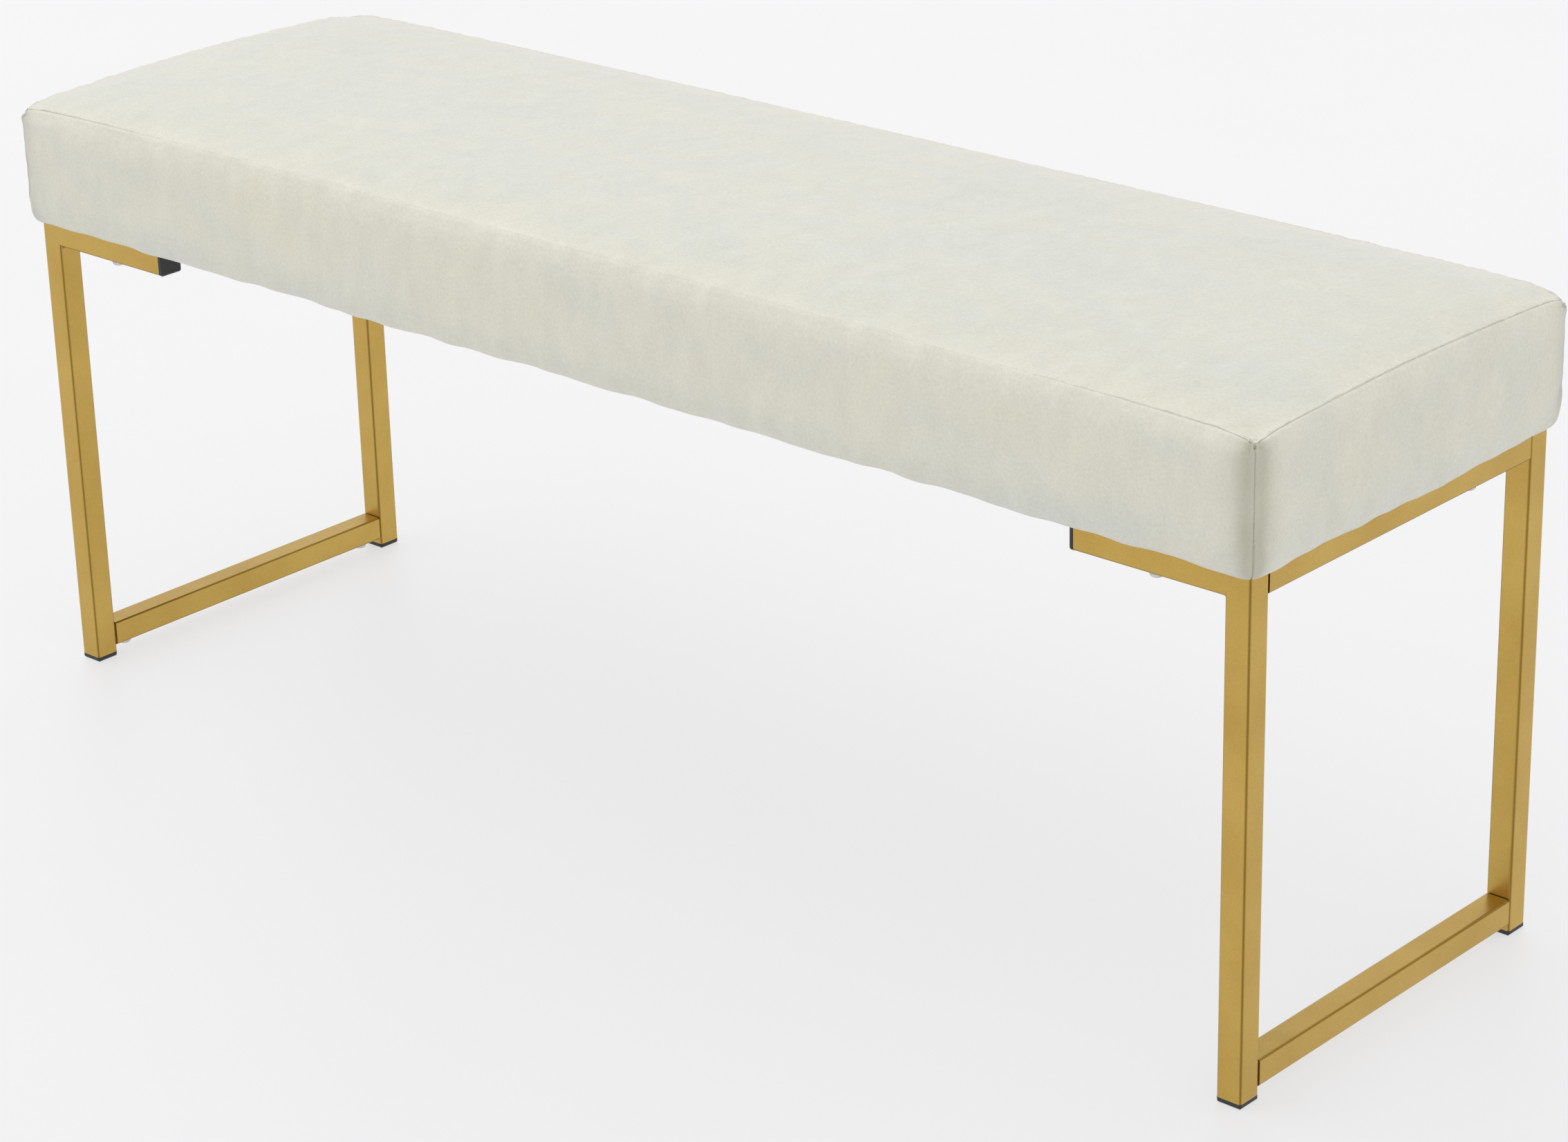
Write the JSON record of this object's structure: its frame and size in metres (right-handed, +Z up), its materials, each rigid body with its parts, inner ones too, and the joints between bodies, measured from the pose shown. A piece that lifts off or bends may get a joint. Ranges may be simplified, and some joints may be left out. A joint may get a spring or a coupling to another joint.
{
  "type": "upholstered bench",
  "caption": "Backless bench: a velvet box cushion with a crowned top on two open end frames of gold square steel tube, with black plugs in the tube ends.",
  "frame": {"origin": "on the floor under the middle of the bench", "axes": "+X along the bench to its right end, +Y from front to back, +Z up"},
  "size_m": [1.2, 0.358, 0.486],
  "materials": {
    "velvet": "short-pile polyester velvet, pale ivory, matt with a soft sheen at glancing angles",
    "foam": "open-cell polyurethane foam",
    "plywood": "raw birch plywood",
    "dust_cloth": "black non-woven polypropylene cloth",
    "gold_tube": "satin gold metallic powder coat",
    "black_plastic": "moulded polyethylene, fine matt",
    "nickel_screw": "bright nickel plate",
    "zinc_nut": "zinc plate"
  },
  "bodies": {
    "root": {"seat_board": "plywood", "seat_foam": "foam", "seat_cover": "velvet", "dust_cover": "dust_cloth", "leg_front_left": "gold_tube", "foot_plug_front_left": "black_plastic", "arm_plug_front_left": "black_plastic", "leg_back_left": "gold_tube", "foot_plug_back_left": "black_plastic", "arm_plug_back_left": "black_plastic", "top_rail_left": "gold_tube", "lower_stretcher_left": "gold_tube", "leg_front_right": "gold_tube", "foot_plug_front_right": "black_plastic", "arm_plug_front_right": "black_plastic", "leg_back_right": "gold_tube", "foot_plug_back_right": "black_plastic", "arm_plug_back_right": "black_plastic", "top_rail_right": "gold_tube", "lower_stretcher_right": "gold_tube", "rail_spigots": "gold_tube", "stretcher_spigots": "gold_tube", "seat_bolts": "nickel_screw", "tee_nuts": "zinc_nut", "stretcher_bolts": "nickel_screw"}
  },
  "joints": []
}
